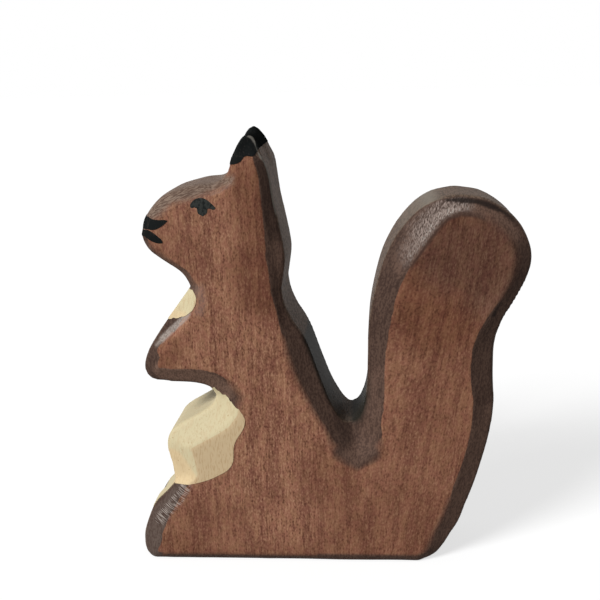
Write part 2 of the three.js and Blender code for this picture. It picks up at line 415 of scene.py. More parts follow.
# %% [markdown]
# ### Places sanded rounder
#
# A few places are sanded rounder than the rest: the brow and its corner with the ear, the toe and
# the heel of the base, and the top of the tail. Each is smoothed for some rounds more, through a
# vertex group that fades out around it. All this smoothing wears the outline and the brow down a
# little, which a small displacement makes up for, and at last the base is made flat again.

# %% Sand some places rounder
BROW_LINE = [(-33.5, 71.5), (-28.5, 74.6), (-24.1, 75.9), (-21.2, 76.8)]
SANDED = [
    (80, Stroke(BROW_LINE, reach=2.6, fade=1.8)),
    (40, Stroke([(-20.8, 77.6), (-18.9, 79)], reach=1.0, fade=1.6)),
    (10, Stroke([(-37.4, 3), (-35.5, 0.6)], reach=1.2, fade=1.8)),
    (10, Stroke([(20.5, 0.2), (22.4, 1.6)], reach=1.2, fade=1.5)),
    (20, Stroke([(23.6, 73.8), (27, 73.8)], reach=1.0, fade=2.0)),
]

skin = Skin(wood)
for rounds, stroke in SANDED:
    group = weigh(wood, "sanded", skin.near(stroke))
    apply_modifier(wood, "SMOOTH", factor=SMOOTHING, iterations=rounds, vertex_group=group)
    wood.vertex_groups.clear()
print("smoothed", len(SANDED), "places, by", sum(rounds for rounds, _ in SANDED), "rounds in all")

# %% Make up for the wear and flatten the base
OUTLINE_WEAR = 0.08 * MM
OUTLINE_FADE = (-1.0, 0.0)
BROW_WEAR = 0.3 * MM
BROW_FADE = (0.0, 1.5)
BROW_WORN = Stroke(BROW_LINE, reach=1.5, fade=2.5)


def flatten_base(piece):
    """Sets every point that has sunk below the base back on it."""
    edit_points(piece, points_of(piece)[:, 2] < 0)
    bpy.ops.transform.resize(value=(1, 1, 0), center_override=(0, 0, 0))
    bpy.ops.object.mode_set(mode="OBJECT")


for wear, weights in (
    (OUTLINE_WEAR, smooth_step(skin.on_side, *OUTLINE_FADE)),
    (BROW_WEAR, skin.near(BROW_WORN) * smooth_step(-skin.on_face, *BROW_FADE)),
):
    group = weigh(wood, "worn_down", weights)
    apply_modifier(wood, "DISPLACE", strength=wear, mid_level=0, vertex_group=group)
    wood.vertex_groups.clear()
flatten_base(wood)
print("the base lies at", round(points_of(wood)[:, 2].min() / MM, 3), "mm")

# %% [markdown]
# ## Marks of the tools
#
# The knife's long strokes make each cut slightly wavy, and sanding leaves the sawn side uneven.
# Where the knife meets end grain, on the upper side of the tail, the fibres tear and the cut stays
# rough. A bump in the material would only imitate this, so it is real relief, moved into the mesh
# by displacement, each kind weighted by a vertex group: the group says where, the texture says
# what shape, and the strength says how deep. The torn patch gets finer faces first.

# %% Subdivide where the fibres are torn
TORN = [
    Stroke([(18.7, 67), (21.5, 70.5), (24.5, 73.2)], reach=1.0, fade=3.4),
    Stroke([(17.0, 63.5), (18.7, 67)], reach=1.0, fade=3.4, level=0.6),
]
TORN_FROM = 0.02

skin = Skin(wood)
edit_points(wood, skin.on_cut * skin.near(*TORN) > TORN_FROM)
bpy.ops.mesh.subdivide(number_cuts=1)
bpy.ops.object.mode_set(mode="OBJECT")
skin = Skin(wood)
torn = skin.on_cut * skin.near(*TORN)
print("with the torn patch it has", len(wood.data.polygons), "faces")

# %% Push the marks into the skin
BELLY_WASHED = Stroke([(-27, 20), (-24, 32)], reach=7, fade=1)
SIDE_EASES_IN = (0.0, 0.5)


def relief(piece, name, weights, size, depth, stretch=1.0, detail=0):
    """Displaces the skin along its normals by clouds of a given size, stretched along Z."""
    texture = bpy.data.textures.new(name, "CLOUDS")
    texture.noise_scale = 1
    texture.noise_depth = detail
    grid = bpy.data.objects.new(name, None)
    grid.scale = (size, size, size * stretch)
    bpy.context.scene.collection.objects.link(grid)
    bpy.context.view_layer.update()
    group = weigh(piece, name, weights)
    apply_modifier(piece, "DISPLACE", texture=texture, texture_coords="OBJECT",
                   texture_coords_object=grid, strength=depth, mid_level=0.5, vertex_group=group)
    bpy.data.objects.remove(grid)
    bpy.data.textures.remove(texture)


bare_cuts = skin.on_cut * (1 - skin.near(BELLY_WASHED))
sawn_side = smooth_step(skin.on_side, *SIDE_EASES_IN)
relief(wood, "knife_strokes", bare_cuts, size=7 * MM, depth=0.4 * MM)
relief(wood, "sanded_side", sawn_side, size=12 * MM, depth=0.25 * MM)
relief(wood, "torn_grain", torn, size=0.6 * MM, depth=0.25 * MM, stretch=1.6, detail=1)
wood.vertex_groups.clear()
flatten_base(wood)
print("the fibres are torn at", int((torn > TORN_FROM).sum()), "points")

# %% [markdown]
# ## Drawn areas of the finish
#
# Some of the finish follows no edge: stain that pooled dark or took more deeply, edges worn pale,
# scratches, and borders that were sanded soft. Some of it is painted light and shade: painted shade
# in the notch and on cuts turned from the light, and painted highlights on the ear's edge, the arm's
# edge, the brow and the tail's top. Each kind is drawn with a few strokes and kept as one more
# attribute, which the wood's material reads. The two kinds of spread shift the distance to the
# face's border instead.

# %% Draw where stain pooled, where it has worn off, and the painted shade and highlights
# Stain pooled along the tail's top and side; the strokes in the notch, on the ear's back and on the
# tail's right edge are painted shade on cuts turned from the light.
POOLS_AND_SHADE_STROKES = [
    Stroke([(23, 73.9), (28.4, 73.4), (33.6, 71.4), (36.6, 69.2)], reach=0.7, fade=0.4),
    Stroke([(33, 55), (31.5, 51.5)], reach=0.3, fade=0.5),
    Stroke([(10.1, 36.5), (10.1, 35)], reach=0.1, fade=0.5, level=0.4),
    Stroke([(2.6, 31), (3.2, 26)], reach=0.5, fade=1.6, level=0.35),
    Stroke([(-12, 82), (-9.3, 68)], reach=1.5, fade=1.5, level=0.3),
    Stroke([(37.5, 63), (36, 56)], reach=1.5, fade=1.5, level=0.25),
]
# Painted shade: the notch between the back and the tail is darkened almost to black.
HOLLOW_LINE = [(-3, 46), (1, 35.4), (3.3, 31.6), (5.2, 30.4), (7.2, 31.4), (9.2, 34.6), (10, 38)]
NOTCH_SHADE_STROKES = [Stroke(HOLLOW_LINE, reach=1.2, fade=1.2)]
ARM_EDGE = [(-32.5, 46.6), (-31.3, 47.8), (-29.6, 49.4), (-28, 50.8), (-26.8, 52)]
# Pale wear with painted highlights: the arm's scuffed edge also stands in for its sheen, and the
# notch's lower rim gets a painted highlight.
CUT_WEAR_AND_HIGHLIGHTS = [
    Stroke([(-33.6, 45.5), (-32.5, 46.6)], reach=0.15, fade=0.4, level=0.75),
    Stroke(ARM_EDGE, reach=0.35, fade=0.45, level=0.9),
    Stroke([(3.6, 30.6), (4.9, 30.1)], reach=0.0, fade=0.3),
]
BROW_END = [(-21.5, 75), (-19.8, 75.4), (-18.1, 76.6), (-16.7, 78.3)]
# A painted highlight by the brow's end, and a paler patch by the throat.
FACE_WEAR_AND_HIGHLIGHTS = [
    Stroke(BROW_END, reach=0.0, fade=0.25, level=0.22),
    Stroke([(-24.3, 57), (-24, 54.5), (-24.6, 52.5)], reach=0.1, fade=1.6, level=0.2),
]
# A painted highlight, with some wear, along the ear's sawn edge.
EAR_EDGE = [
    Stroke([(-14.9, 86.1), (-13.7, 85.1), (-12.1, 83.0)], reach=0.5, fade=0.8),
    Stroke([(-12.1, 83.0), (-10.9, 79.2), (-9.0, 72.3)], reach=0.8, fade=1.2, level=0.75),
]
FOOT_LINE = [(-29.1, 15.9), (-30.4, 13.7), (-32.6, 11.2), (-34.8, 8.5), (-35.8, 6.5)]
FOOT = [Stroke([*FOOT_LINE, (-36.8, 1.5)], reach=1.8, fade=0.8)]
SCRATCHED = [Stroke(FOOT_LINE[:-1], reach=0.8, fade=0.6)]

# %% Draw the cuts that took less stain, and the paler top of the tail with its painted sheen
THROAT_LINE = [(-33.6, 64.8), (-30.7, 62.3), (-28.3, 59.9), (-26.1, 57.8), (-25.4, 56)]
TAIL_UPPER_CUT = [(15, 61), (17, 67), (20.5, 71)]
PALE_CUTS = [
    Stroke(THROAT_LINE, reach=1.2, fade=0.8, level=0.35),
    Stroke([(-32.3, 40.3), (-28, 40)], reach=1.4, fade=1.2, level=0.95),
    Stroke([(-28, 40), (-24.5, 38.9), (-20.5, 36.2)], reach=1.4, fade=1.2, level=0.7),
    Stroke([(10.2, 39), (9, 33), (7.5, 25), (4.5, 22)], reach=1.0, fade=1.8, level=0.3),
    Stroke(TAIL_UPPER_CUT, reach=1.0, fade=2.5, level=0.25),
    Stroke([(23.5, 6), (30, 22), (33, 30)], reach=2.5, fade=2.5, level=0.35),
    Stroke([(-8, 65), (-6.5, 58), (-3, 50)], reach=1.5, fade=2.0, level=0.45),
    Stroke([(28, 71.8), (32.6, 69.5), (35.4, 66.6)], reach=0.6, fade=1.0, level=0.45),
]
# The tail's top side is painted paler: pale fibres, and a painted sheen where it faces up.
PALE_SIDE_AND_SHEEN_STROKES = [Stroke(TAIL_UPPER_CUT, reach=1.0, fade=2.5)]
BROW = [Stroke([*BROW_LINE, (-20, 77.2)], reach=3.0, fade=1.6)]

# %% Draw where the face's border is soft or lies off the edge
TAIL_TOP_BORDER = [(27, 71.6), (32.4, 69.3), (35.2, 65.9), (36.3, 61.7), (34.9, 57)]
SOFT_BORDERS = [
    Stroke([(-19, 37.2), (-17.3, 35), (-17.9, 32.5)], reach=0.8, fade=1.2, level=1.6),
    Stroke([*BROW_LINE, (-17.5, 79)], reach=2.5, fade=2.0),
    Stroke([(-9.5, 46), (-7.3, 39.7), (-3.6, 30.5), (0.2, 24.5)], reach=1.2, fade=1.5),
    Stroke(TAIL_TOP_BORDER, reach=2.2, fade=2.0, level=1.6),
    Stroke(THROAT_LINE, reach=0.6, fade=1.0),
    Stroke([(0, 24), (5, 21.5), (9, 24)], reach=1.5, fade=2.0, level=1.5),
    Stroke([(-33, 0.3), (20, 0.3)], reach=1.4, fade=1.2),
    Stroke([(17.5, 1), (20, 4), (23, 12)], reach=1.5, fade=1.5),
]
ARM_BORDER = [(-26.4, 52.2), (-26.9, 51.3), (-28, 49.8), (-28.7, 48.6)]
FACE_SPREADS = [
    Stroke(ARM_BORDER, reach=0.5, fade=0.8, level=1.4),
    Stroke([(-30.1, 47.4), (-31.6, 45.8), (-32.5, 44.7)], reach=0.7, fade=0.6, level=1.5),
    Stroke([(-19, 79.4), (-17.8, 80.6)], reach=0.8, fade=1.5, level=1.5),
]
CUT_SPREADS = [
    Stroke([(1.8, 23), (5.3, 21.4), (8.9, 22.8)], reach=0.8, fade=1.4, level=1.2),
    Stroke([(-35.3, 1.5), (-35.2, 4.5)], reach=0.4, fade=0.9, level=0.6),
    Stroke([(-33, 0.2), (-2, 0.2)], reach=0.5, fade=1.2, level=0.9),
    Stroke([(-2, 0.2), (19.5, 0.2)], reach=0.7, fade=1.5, level=1.5),
]
RIM_LINE = [(18.2, 61.3), (20, 64), (22.5, 67.4), (25, 69.6), (27.6, 70.2)]
RIM = [Stroke(RIM_LINE, reach=1.5, fade=1.5)]

# %% Draw where the face took more stain, and where it is darker along the base
EAR_BACK_LINE = [(-13.4, 77), (-11, 66.5), (-13, 61), (-12, 56)]
SHADES = [
    Stroke([(21, 52), (25, 66), (29, 62)], reach=5, fade=10, level=0.9),
    Stroke([(9, 0), (12, 14), (18, 36), (27, 56)], reach=7, fade=12, level=0.28),
    Stroke([(8, 3), (16, 9)], reach=6, fade=9, level=0.5),
    # Darker towards the base.
    Stroke([(-33, 0), (20, 0)], reach=1, fade=5, level=0.5),
    Stroke([(-32, 7), (-22, 8)], reach=3, fade=6, level=0.3),
    Stroke([(0, 19), (3, 12)], reach=3, fade=5, level=0.45),
    Stroke([(23.5, 40), (23, 24)], reach=3, fade=5, level=0.45),
    Stroke(EAR_BACK_LINE, reach=2, fade=6, level=0.7),
    Stroke([(-32, 66), (-27, 63)], reach=3, fade=5, level=0.2),
    Stroke([(-32.5, 43.8), (-31.3, 44.8)], reach=1.5, fade=3.5, level=0.55),
    Stroke([(-32, 3), (-28.5, 3)], reach=1.5, fade=4, level=0.55),
]
GREYED = [Stroke([(24, 63), (29, 64), (32, 58)], reach=4, fade=7)]

# %% Keep every area on the skin
AREAS = {
    "notch_shade": NOTCH_SHADE_STROKES,
    "edge_wear_and_highlight": EAR_EDGE,
    "foot": FOOT,
    "pale_cut": PALE_CUTS,
    "pale_side_and_sheen": PALE_SIDE_AND_SHEEN_STROKES,
    "brow": BROW,
    "soft_border": SOFT_BORDERS,
    "rim": RIM,
    "shade": SHADES,
    "greyed": GREYED,
}
WEAR_AND_HIGHLIGHT_PAST_BORDER = (-0.1, 0.2)

skin.keep_distances(skin.near(*FACE_SPREADS) - skin.near(*CUT_SPREADS))
for name, strokes in AREAS.items():
    skin.keep(name, skin.near(*strokes))
cut_wear_and_highlight = skin.near(*CUT_WEAR_AND_HIGHLIGHTS) * smooth_step(-skin.on_face, *WEAR_AND_HIGHLIGHT_PAST_BORDER)
skin.keep("wear_and_highlight", np.maximum(cut_wear_and_highlight, skin.near(*FACE_WEAR_AND_HIGHLIGHTS)))
skin.keep("pool_and_shade", skin.near(*POOLS_AND_SHADE_STROKES) * skin.on_cut)
skin.keep("scratched", skin.near(*SCRATCHED) * skin.off_side)
skin.keep("torn", torn)
print("the wood keeps", len(wood.data.attributes), "attributes")

# %% [markdown]
# ## Materials
#
# Wood could be shown by a picture of it, but a picture has seams and an end. Every finish here is
# a few layers of noise on the piece's own coordinates instead, so it stays in place on the figure
# from any side. Short helper calls add the nodes and wire them up.

# %% Add and wire nodes by short calls
SEED_STEP = 10  # millimetres between two places in the same noise
NOISE_ROUGHNESS = 0.55
MIX_SHARE = 0  # the sockets of a Mix node that hold its share and its colours
MIX_BELOW = 6
MIX_ABOVE = 7
MIX_RESULT = 2


class Nodes:
    """A node tree, whose nodes are added and wired by short calls."""

    def __init__(self, tree):
        self.tree = tree
        self.place = None

    def node(self, kind, inputs=(), **settings):
        made = self.tree.nodes.new(kind)
        for name, value in settings.items():
            setattr(made, name, value)
        for name, value in dict(inputs).items():
            self.feed(value, made.inputs[name])
        return made

    def feed(self, value, socket):
        if isinstance(value, bpy.types.NodeSocket):
            self.tree.links.new(value, socket)
        else:
            socket.default_value = value

    def attribute(self, name):
        return self.node("ShaderNodeAttribute", attribute_name=name).outputs["Fac"]

    def band(self, value, start, end, low=0.0, high=1.0):
        """A value that goes smoothly from low to high as the input goes from start to end."""
        inputs = {"Value": value, "From Min": start, "From Max": end, "To Min": low, "To Max": high}
        made = self.node("ShaderNodeMapRange", inputs, interpolation_type="SMOOTHSTEP")
        return made.outputs["Result"]

    def calculate(self, operation, a, b=0.0):
        made = self.node("ShaderNodeMath", operation=operation)
        self.feed(a, made.inputs[0])
        self.feed(b, made.inputs[1])
        return made.outputs["Value"]

    def plus(self, a, b):
        return self.calculate("ADD", a, b)

    def minus(self, a, b):
        return self.calculate("SUBTRACT", a, b)

    def times(self, a, b):
        return self.calculate("MULTIPLY", a, b)

    def mixed(self, *parts):
        """A weighted sum of (value, weight) pairs."""
        total = self.times(*parts[0])
        for part in parts[1:]:
            total = self.plus(total, self.times(*part))
        return total

    def blend(self, share, below, above, mode="MIX"):
        """A share of one colour laid over another."""
        made = self.node("ShaderNodeMix", data_type="RGBA", blend_type=mode)
        self.feed(share, made.inputs[MIX_SHARE])
        self.feed(below, made.inputs[MIX_BELOW])
        self.feed(above, made.inputs[MIX_ABOVE])
        return made.outputs[MIX_RESULT]

    def noise(self, size, stretch=1.0, detail=1.0, seed=0.0, lean=0.0, deep=1.0):
        """Noise of a size in metres, stretched along Z, leaning to +X, and deep along Y."""
        if self.place is None:
            self.place = self.node("ShaderNodeTexCoord").outputs["Object"]
        inputs = {"Vector": self.place, "Location": (seed * SEED_STEP * MM,) * 3,
                  "Rotation": (0, math.radians(lean), 0), "Scale": (size, size * deep, size * stretch)}
        mapped = self.node("ShaderNodeMapping", inputs, vector_type="TEXTURE")
        inputs = {"Vector": mapped.outputs["Vector"], "Scale": 1.0, "Detail": detail,
                  "Roughness": NOISE_ROUGHNESS}
        return self.node("ShaderNodeTexNoise", inputs).outputs["Fac"]

    def seen_directly(self):
        """1 for rays that show the background itself: to the camera, in a gloss or through glass."""
        path = self.node("ShaderNodeLightPath").outputs
        either = self.calculate("MAXIMUM", path["Is Camera Ray"], path["Is Glossy Ray"])
        return self.calculate("MAXIMUM", either, path["Is Transmission Ray"])


# %% Set up a surface and its colours
class Shader(Nodes):
    """A material of one surface shader."""

    def __init__(self, name):
        self.material = bpy.data.materials.new(name)
        self.material.use_nodes = True
        super().__init__(self.material.node_tree)
        self.surface = self.tree.nodes["Principled BSDF"]

    def set(self, **values):
        """Values for the shader's sockets, with _ for each space of a socket's name."""
        for name, value in values.items():
            self.feed(value, self.surface.inputs[name.replace("_", " ")])

    def bump(self, height, distance, strength):
        inputs = {"Height": height, "Distance": distance, "Strength": strength}
        self.set(Normal=self.node("ShaderNodeBump", inputs).outputs["Normal"])


def linear(level):
    """A channel from 0 to 255, as an image editor gives it, made linear as a shader wants it."""
    return level / 255 / 12.92 if level <= 10 else ((level / 255 + 0.055) / 1.055) ** 2.4


def srgb(red, green, blue):
    return (linear(red), linear(green), linear(blue), 1.0)


# %% [markdown]
# ### Stained wood
#
# The grain runs up the figure and leans over in the tail, so the noise is stretched along Z and
# sheared there. Fine dark pores and pale fibres a millimetre long lie over soft flecks and broad
# bands. One stain colours it all, but it takes darker and greyer on the cuts and on the sawn
# side, where more end grain lies open. The tail's top side is paler, with a painted sheen. Torn
# fibres with painted glints, the brow's fine lines, pools of stain and painted shade, wear and
# painted highlights, and scratches go on top, each where its attribute says.

# %% Choose the wood's colours
FACE_TAN = srgb(140, 100, 77)
FACE_RED = srgb(120, 82, 64)
FACE_DARK = srgb(70, 39, 30)
FACE_PALE = srgb(176, 136, 108)
FACE_TINT = (1.02, 0.94, 1.02, 1)
FACE_SHADE = (0.54, 0.47, 0.43, 1)
FACE_GREYED = (0.79, 0.89, 1.0, 1)
CUT_BROWN = srgb(81, 63, 54)
CUT_DARK = srgb(60, 45, 39)
CUT_PALE = srgb(120, 94, 81)
BROW_BROWN = srgb(126, 108, 95)
FOOT_GREY = srgb(89, 76, 69)
SIDE_BROWN = srgb(102, 85, 73)
SIDE_DARK = srgb(74, 61, 52)
SIDE_PALE_AND_SHEEN = srgb(124, 117, 106)
POOL_AND_SHADE_BLACK = srgb(32, 26, 24)
NOTCH_PAINTED_SHADE = srgb(34, 33, 29)
WEAR_AND_HIGHLIGHT_GREY = srgb(165, 154, 146)
EDGE_WEAR_AND_HIGHLIGHT_GREY = srgb(126, 122, 115)
TORN_PALE = srgb(140, 125, 117)
TORN_DARK = srgb(68, 55, 49)
TORN_PAINTED_GLINT = srgb(178, 170, 162)

# %% Lay out the grain
TAIL_LEAN = 0.16
LEAN_STARTS = -5 * MM
LEAN_FULL = 25 * MM


def along_grain(s):
    """The piece's own coordinates, with X sheared so that the grain leans over in the tail."""
    place = s.node("ShaderNodeTexCoord").outputs["Object"]
    parts = s.node("ShaderNodeSeparateXYZ", {"Vector": place}).outputs
    lean = s.times(s.band(parts["X"], LEAN_STARTS, LEAN_FULL, high=TAIL_LEAN), parts["Z"])
    sheared = {"X": s.minus(parts["X"], lean), "Y": parts["Y"], "Z": parts["Z"]}
    return s.node("ShaderNodeCombineXYZ", sheared).outputs["Vector"]


class Grain:
    """The layers of noise that the whole of the wood shares."""

    def __init__(self, s):
        streaks = s.noise(0.3 * MM, stretch=10)
        blotches = s.noise(5 * MM, stretch=1.3, detail=2)
        bands = s.noise(1.5 * MM, stretch=16)
        self.fibres = s.noise(0.28 * MM, stretch=1.9, seed=5)
        self.flecks = s.noise(0.9 * MM, stretch=2.2, detail=2)
        self.fine = s.mixed((streaks, 0.35), (self.fibres, 0.5), (self.flecks, 0.15))
        self.broad = s.mixed((blotches, 0.4), (bands, 0.45), (self.flecks, 0.15))


# %% Colour the flat face
PORE_STRENGTH = 0.74
PORE_STRENGTH_SHADED = 0.58
SHADED_FROM = 0.28
RIM_REACH = (0.75, 0.1)


def face_colour(s, grain):
    """Two browns in bands, a faint tint, dark pores, pale fibres, and the shades laid over them."""
    shade = s.attribute("shade")
    strength = s.band(shade, 0, SHADED_FROM, low=PORE_STRENGTH, high=PORE_STRENGTH_SHADED)
    tint = s.band(s.noise(1.1 * MM, stretch=1.5, seed=13), 0.35, 0.65)
    pores = s.band(grain.fine, 0.5, 0.66, high=strength)
    pale_fibres = s.times(s.band(grain.fine, 0.5, 0.34, high=strength), 0.75)
    rim = s.times(s.attribute("rim"), s.band(s.attribute("on_face"), *RIM_REACH, high=0.85))
    face = s.blend(s.band(grain.broad, 0.41, 0.59), FACE_RED, FACE_TAN)
    face = s.blend(tint, face, FACE_TINT, "MULTIPLY")
    face = s.blend(pores, face, FACE_DARK)
    face = s.blend(pale_fibres, face, FACE_PALE)
    face = s.blend(shade, face, FACE_SHADE, "MULTIPLY")
    face = s.blend(s.attribute("greyed"), face, FACE_GREYED, "MULTIPLY")
    return s.blend(rim, face, CUT_DARK)


# %% Colour the cuts, torn or clean, and the sawn side
GLINTS_REACH = (-2.2, -0.8)
SPECKS_REACH = (-1.3, -0.5)


def torn_wood(s):
    """Torn fibres and their colour, painted glints towards the face, and specks along the sawn edge.
    """
    tears = s.band(s.noise(0.15 * MM, stretch=4, seed=3, lean=12, deep=4), 0.33, 0.62)
    bright = s.noise(0.15 * MM, stretch=4, detail=0, seed=6, lean=12, deep=4)
    dark = s.noise(0.22 * MM, stretch=4, detail=0, seed=8, lean=30, deep=4)
    inner = s.band(s.attribute("on_face"), *GLINTS_REACH)
    outer = s.band(s.attribute("on_side"), *SPECKS_REACH)
    colour = s.blend(tears, TORN_DARK, TORN_PALE)
    colour = s.blend(s.times(s.band(bright, 0.58, 0.72, high=0.7), inner), colour, TORN_PAINTED_GLINT)
    colour = s.blend(s.times(s.band(dark, 0.46, 0.58, high=0.75), outer), colour, CUT_DARK)
    return tears, colour


def cut_colour(s, grain, torn_colour):
    """The knife's cuts: dark, paler where they took less stain, grey on the foot, or torn."""
    clean = s.blend(s.band(grain.fine, 0.4, 0.6), CUT_BROWN, CUT_DARK)
    pale = s.blend(s.band(grain.fine, 0.42, 0.6, high=0.7), CUT_PALE, CUT_BROWN)
    foot = s.blend(s.band(grain.fine, 0.42, 0.6, high=0.6), FOOT_GREY, CUT_DARK)
    cut = s.blend(s.attribute("pale_cut"), clean, pale)
    cut = s.blend(s.attribute("foot"), cut, foot)
    return s.blend(s.attribute("torn"), cut, torn_colour)


def side_colour(s):
    """The sawn side, with specks that run a little way into the depth, and a painted sheen on the
    tail's top.
    """
    specks = s.band(s.noise(0.3 * MM, stretch=2, seed=11, deep=5), 0.42, 0.62)
    side = s.blend(specks, SIDE_BROWN, SIDE_DARK)
    return s.blend(s.attribute("pale_side_and_sheen"), side, SIDE_PALE_AND_SHEEN)


# %% Join the cuts and the side, with stain pools, painted shade, wear and painted highlights there
SIDE_STARTS = (-0.15, 0.15)
HOLLOW_DARKENS = (-0.9, 0.3)
EDGE_LINE_AT = 0.3
EDGE_LINE_FADES = (0.5, 0.25)
EDGE_LINE_DEPTH = (0.5, 0.2)


def edge_wear_and_highlight_line(s):
    """A thin line along the ear's sawn edge: a painted highlight, and where the colour has rubbed off.
    """
    gap = s.calculate("ABSOLUTE", s.minus(s.attribute("on_side"), EDGE_LINE_AT))
    line = s.band(gap, *EDGE_LINE_FADES, high=0.85)
    skin_deep = s.band(s.attribute("from_edge"), *EDGE_LINE_DEPTH)
    return s.times(s.attribute("edge_wear_and_highlight"), s.times(line, skin_deep))


def edge_colour(s, cut, side, brow_lines):
    """All that lies outside the flat face."""
    on_side = s.attribute("on_side")
    brow = s.blend(s.band(brow_lines, 0.38, 0.6, high=0.9), BROW_BROWN, CUT_BROWN)
    # Painted shade in the notch between the back and the tail.
    notch_shade = s.times(s.attribute("notch_shade"), s.band(on_side, *HOLLOW_DARKENS, high=0.95))
    edges = s.blend(s.band(on_side, *SIDE_STARTS), cut, side)
    edges = s.blend(s.attribute("brow"), edges, brow)
    # Stain pools, and painted shade on cuts turned from the light.
    edges = s.blend(s.times(s.attribute("pool_and_shade"), 0.9), edges, POOL_AND_SHADE_BLACK)
    edges = s.blend(notch_shade, edges, NOTCH_PAINTED_SHADE)
    return s.blend(edge_wear_and_highlight_line(s), edges, EDGE_WEAR_AND_HIGHLIGHT_GREY)


# %% Join the face and the edges into one material
FACE_STARTS = -0.1
FACE_FULL = 0.08
SOFT_BORDER_INWARD = 0.9
FRAYING = 0.5


def on_the_face(s, flecks):
    """1 on the flat face and 0 outside it, with a border that frays where it was sanded soft."""
    soft = s.attribute("soft_border")
    frayed = s.mixed((s.attribute("on_face"), 1), (s.minus(flecks, 0.5), FRAYING))
    outer = s.minus(FACE_STARTS, soft)
    inner = s.plus(FACE_FULL, s.times(soft, SOFT_BORDER_INWARD))
    return s.band(frayed, outer, inner)


def stained_wood():
    s = Shader("stained_wood")
    tears, torn_colour = torn_wood(s)
    scratches = s.noise(0.16 * MM, stretch=12, detail=0, seed=9, lean=-62, deep=12)
    brow_lines = s.noise(0.2 * MM, stretch=7, seed=2, lean=66)
    s.place = along_grain(s)
    grain = Grain(s)
    edges = edge_colour(s, cut_colour(s, grain, torn_colour), side_colour(s), brow_lines)
    colour = s.blend(on_the_face(s, grain.flecks), edges, face_colour(s, grain))
    # Pale wear and painted highlights, on the arm's edge, the notch, and by the brow and the throat.
    wear_and_highlight = s.times(s.attribute("wear_and_highlight"), s.band(grain.fibres, 0.4, 0.6, low=0.45, high=0.85))
    colour = s.blend(wear_and_highlight, colour, WEAR_AND_HIGHLIGHT_GREY)
    scratched = s.attribute("scratched")
    dark_scratches = s.times(scratched, s.band(scratches, 0.5, 0.4, high=0.6))
    pale_scratches = s.times(scratched, s.band(scratches, 0.5, 0.65, high=0.7))
    colour = s.blend(dark_scratches, colour, CUT_DARK)
    colour = s.blend(pale_scratches, colour, WEAR_AND_HIGHLIGHT_GREY)
    s.set(Base_Color=colour, Roughness=0.6, Specular_IOR_Level=0.04)
    torn_fibres = s.times(s.attribute("torn"), tears)
    height = s.mixed((grain.flecks, 0.5), (grain.fine, -0.7), (torn_fibres, 0.8))
    s.bump(height, distance=0.08 * MM, strength=0.6)
    return s.material


wood.data.materials.append(stained_wood())
select_only(wood)
bpy.ops.object.shade_smooth()
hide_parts("wood_body")
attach(wood, "root")
print("the stained wood takes", len(wood.data.materials[0].node_tree.nodes), "nodes")

# %% [markdown]
# ### Wash and paint
#
# The wash is thin, so the grain shows through it, and it lies thinner still on the flat facets
# than on the fresh cuts. The belly's lowest facet, which faces the lamp, gets a peach tint: painted
# light. The paint is opaque, with a low sheen and faint brush marks. Both could be colours in the
# wood's own material, but on the toy they are layers, so they get their own.

# %% Mix the wash
WASH_CREAM = srgb(196, 184, 149)
WASH_PEACH = srgb(204, 182, 143)
WASH_THIN = srgb(191, 167, 132)
WASH_FLECK = srgb(158, 124, 86)
WASH_THINS = (-0.1, 0.1)
PEACHES = [
    # The first stroke is painted light: the belly's lowest facet faces the lamp and looks peach.
    Stroke([(-32, 20.5), (-29.5, 17)], reach=2.6, fade=0.8),
    Stroke([(-31, 51.6), (-28.2, 51.2)], reach=0.3, fade=1.4, level=0.9),
]


def pale_wash():
    s = Shader("pale_wash")
    s.place = along_grain(s)
    pores = s.noise(0.28 * MM, stretch=5)
    flecks = s.noise(0.9 * MM, stretch=2.2, detail=2)
    specks = s.noise(0.45 * MM, stretch=1.3, seed=7)
    thin = s.band(s.attribute("on_face"), *WASH_THINS)
    streaks = s.times(s.band(pores, 0.5, 0.66), s.plus(0.2, s.times(thin, 0.22)))
    # On the belly's lowest facet the peach tint is painted light.
    colour = s.blend(s.attribute("peach"), WASH_CREAM, WASH_PEACH)
    colour = s.blend(s.times(thin, 0.85), colour, WASH_THIN)
    colour = s.blend(s.band(flecks, 0.45, 0.7, high=0.3), colour, WASH_THIN)
    colour = s.blend(streaks, colour, WASH_FLECK)
    colour = s.blend(s.band(specks, 0.7, 0.76, high=0.7), colour, WASH_FLECK)
    s.set(Base_Color=colour, Roughness=0.6, Specular_IOR_Level=0.15)
    s.bump(s.mixed((flecks, 0.6), (pores, -0.5)), distance=0.05 * MM, strength=0.5)
    return s.material


WASH = pale_wash()
print("the wash takes", len(WASH.node_tree.nodes), "nodes")

# %% Mix the paint
PAINT_BLACK = srgb(26, 28, 28)
PAINT_WORN = srgb(60, 56, 52)
PAINT_RUBBED = srgb(51, 53, 51)
RUBBED = [Stroke([(-24.6, 73.6), (-21, 73)], reach=2.5, fade=0.8)]


def black_paint():
    s = Shader("black_paint")
    s.place = along_grain(s)
    brush = s.noise(0.4 * MM, stretch=4, detail=2)
    rubbed = s.band(s.noise(0.5 * MM, stretch=1.5, seed=4), 0.35, 0.6, low=0.15)
    colour = s.blend(s.band(brush, 0.5, 0.8, high=0.5), PAINT_BLACK, PAINT_WORN)
    colour = s.blend(s.times(s.attribute("rubbed"), rubbed), colour, PAINT_RUBBED)
    # A painted highlight along the ear's sawn edge, with some wear.
    colour = s.blend(edge_wear_and_highlight_line(s), colour, EDGE_WEAR_AND_HIGHLIGHT_GREY)
    s.set(Base_Color=colour, Roughness=0.7, Specular_IOR_Level=0.0)
    s.bump(brush, distance=0.05 * MM, strength=0.5)
    return s.material


PAINT = black_paint()
print("the paint takes", len(PAINT.node_tree.nodes), "nodes")

